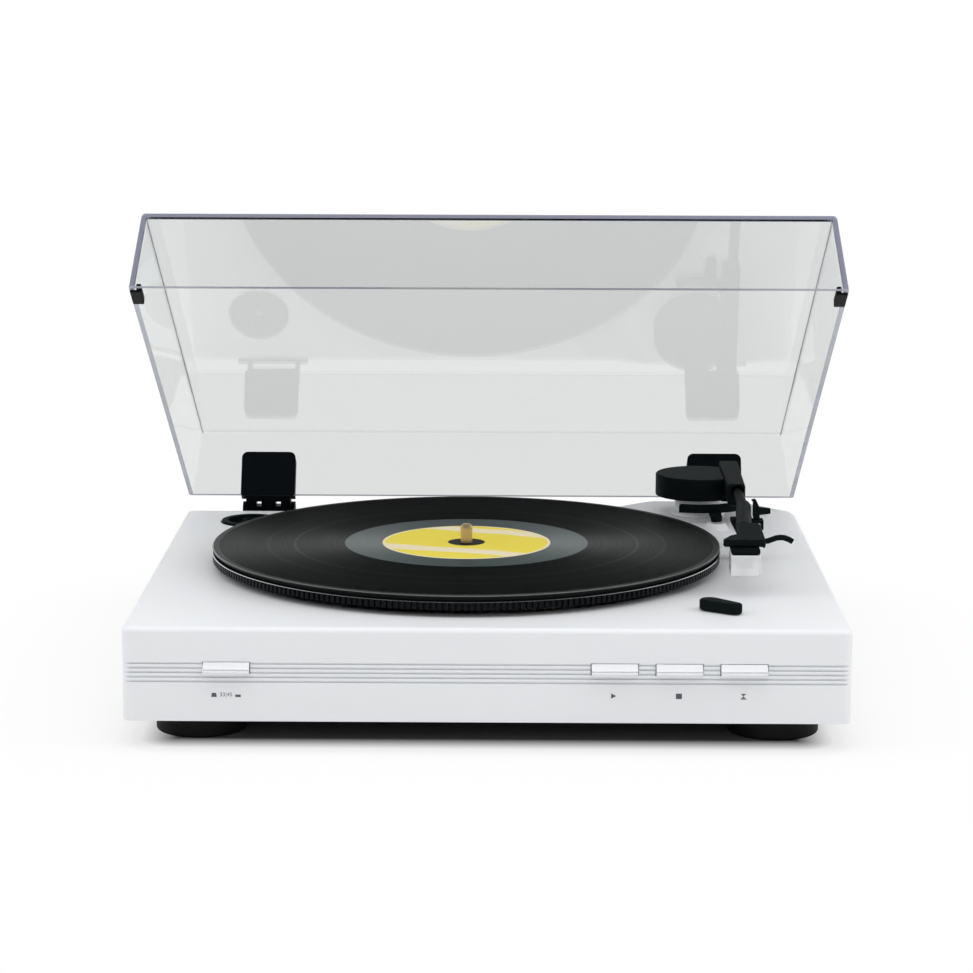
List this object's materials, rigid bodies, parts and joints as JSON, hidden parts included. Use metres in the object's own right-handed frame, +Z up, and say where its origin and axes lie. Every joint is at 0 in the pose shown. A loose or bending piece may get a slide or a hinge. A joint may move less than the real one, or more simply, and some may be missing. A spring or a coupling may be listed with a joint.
{
  "type": "automatic turntable",
  "caption": "Low box-shaped belt-drive record player with a clear hinged dust cover held open, a ribbed platter carrying a record, a tonearm on its rest and front push buttons.",
  "frame": {"origin": "centre of the bounding box at the underside of the feet, with the dust cover open as in the picture", "axes": "+X to the right along the front, +Y to the back, +Z up"},
  "size_m": [0.395, 0.3721, 0.2833],
  "materials": {
    "white_shell": "satin white moulded plastic",
    "white_button": "satin white moulded plastic",
    "black_moulding": "satin black moulded plastic",
    "black_base": "matt black moulded plastic",
    "black_rubber": "matt black rubber",
    "mat_rubber": "matt black ribbed mat",
    "belt_rubber": "ground black belt rubber",
    "black_platter": "die-cast, black coated",
    "black_tube": "drawn tube, satin black coated",
    "black_vinyl": "pressed glossy vinyl",
    "label_paper": "uncoated yellow and cream print",
    "brass": "turned",
    "steel": "turned or plated",
    "clear_cover": "clear moulded plastic with a faint smoke tint at its edges",
    "clear_guard": "milky clear moulded plastic",
    "gear_nylon": "natural nylon",
    "green_board": "green solder mask"
  },
  "bodies": {
    "chassis": {"deck_shell": "white_shell", "base_plate": "black_base", "foot_front_left": "black_rubber", "foot_front_right": "black_rubber", "foot_rear_left": "black_rubber", "foot_rear_right": "black_rubber", "spindle": "brass", "motor": "steel", "drive_belt": "belt_rubber", "arm_pedestal": "white_shell", "armrest": "black_moulding", "clip_pin": "steel", "speed_button_guide": "black_base", "transport_button_guide": "black_base", "hinge_base_left": "black_moulding", "hinge_base_right": "black_moulding", "hinge_pin_left": "steel", "hinge_pin_right": "steel", "circuit_board": "green_board", "line_socket_left": "steel", "line_socket_right": "steel", "power_inlet": "black_moulding"},
    "cover": {"dust_cover": "clear_cover", "cover_bumper_left": "black_rubber", "cover_bumper_right": "black_rubber", "hinge_bracket_left": "black_moulding", "hinge_bracket_right": "black_moulding"},
    "turning_platter": {"platter": "black_platter", "platter_bush": "brass", "drive_pinion": "gear_nylon", "platter_mat": "mat_rubber", "record": "black_vinyl", "record_label": "label_paper"},
    "pulley": {"motor_pulley": "brass", "motor_shaft": "steel"},
    "cam": {"cam_gear": "gear_nylon"},
    "turret": {"arm_turret": "black_moulding", "arm_shaft": "steel", "arm_pivot_pin": "steel"},
    "tonearm": {"arm_sleeve": "black_moulding", "arm_tube": "black_tube", "headshell": "black_moulding", "cartridge": "black_moulding", "stylus": "black_moulding", "finger_lift": "black_moulding"},
    "guard": {"stylus_guard": "clear_guard"},
    "lift": {"lift_bar": "black_moulding", "lift_rod": "steel"},
    "clip": {"arm_clip": "black_moulding"},
    "lever": {"size_lever": "black_moulding"},
    "speed_button": {"button_speed": "white_button"},
    "start_button": {"button_start": "white_button"},
    "stop_button": {"button_stop": "white_button"},
    "lift_button": {"button_lift": "white_button"},
    "adapter": {"adapter_45": "black_moulding"},
    "switch": {"line_switch": "black_moulding"}
  },
  "joints": [
    {"name": "cover_hinge", "type": "hinge", "parent": "chassis", "child": "cover", "pos_m": [0, 0.175, 0.06383], "axis": [-1, 0, 0], "range_deg": [-30.07, 25]},
    {"name": "platter_spin", "type": "hinge", "parent": "chassis", "child": "turning_platter", "pos_m": [-0.0136, -0.00436, 0.076], "axis": [0, 0, -1], "continuous": true},
    {"name": "pulley_spin", "type": "hinge", "parent": "chassis", "child": "pulley", "pos_m": [-0.11406, 0.05364, 0.066], "axis": [0, 0, -1], "continuous": true},
    {"name": "cam_turn", "type": "hinge", "parent": "chassis", "child": "cam", "pos_m": [0.02337, -0.04541, 0.058], "axis": [0, 0, 1], "range_deg": [-3.5, 3.5]},
    {"name": "tonearm_swing", "type": "hinge", "parent": "chassis", "child": "turret", "pos_m": [0.1315, 0.11444, 0.087], "axis": [0, 0, -1], "range_deg": [0, 38]},
    {"name": "tonearm_lift", "type": "hinge", "parent": "turret", "child": "tonearm", "pos_m": [0.1525, 0.11444, 0.096], "axis": [-1, 0, 0], "range_deg": [-0.1, 6]},
    {"name": "guard_pull", "type": "slide", "parent": "tonearm", "child": "guard", "axis": [0, -1, 0], "range_m": [0, 0.012]},
    {"name": "lift_rise", "type": "slide", "parent": "chassis", "child": "lift", "axis": [0, 0, 1], "range_m": [-0.0003, 0.0052]},
    {"name": "clip_open", "type": "hinge", "parent": "chassis", "child": "clip", "pos_m": [0.16106, 0.00894, 0.0885], "axis": [0, 1, 0], "range_deg": [0, 45]},
    {"name": "lever_turn", "type": "hinge", "parent": "chassis", "child": "lever", "pos_m": [0.1233, -0.13156, 0.067], "axis": [0, 0, 1], "range_deg": [0, 30]},
    {"name": "speed_press", "type": "slide", "parent": "chassis", "child": "speed_button", "axis": [0, 1, 0], "range_m": [0, 0.003]},
    {"name": "start_press", "type": "slide", "parent": "chassis", "child": "start_button", "axis": [0, 1, 0], "range_m": [0, 0.003], "stiffness_N_per_m": 300},
    {"name": "stop_press", "type": "slide", "parent": "chassis", "child": "stop_button", "axis": [0, 1, 0], "range_m": [0, 0.003], "stiffness_N_per_m": 300},
    {"name": "lift_press", "type": "slide", "parent": "chassis", "child": "lift_button", "axis": [0, 1, 0], "range_m": [0, 0.003]},
    {"name": "adapter_lift", "type": "slide", "parent": "chassis", "child": "adapter", "axis": [0, 0, 1], "range_m": [0, 0.02]},
    {"name": "switch_slide", "type": "slide", "parent": "chassis", "child": "switch", "axis": [1, 0, 0], "range_m": [0, 0.004]}
  ],
  "couplings": [
    {"joint": "pulley_spin", "follows": "platter_spin", "ratio": 18.4},
    {"joint": "lift_rise", "follows": "tonearm_lift", "m_per_rad": 0.048}
  ]
}
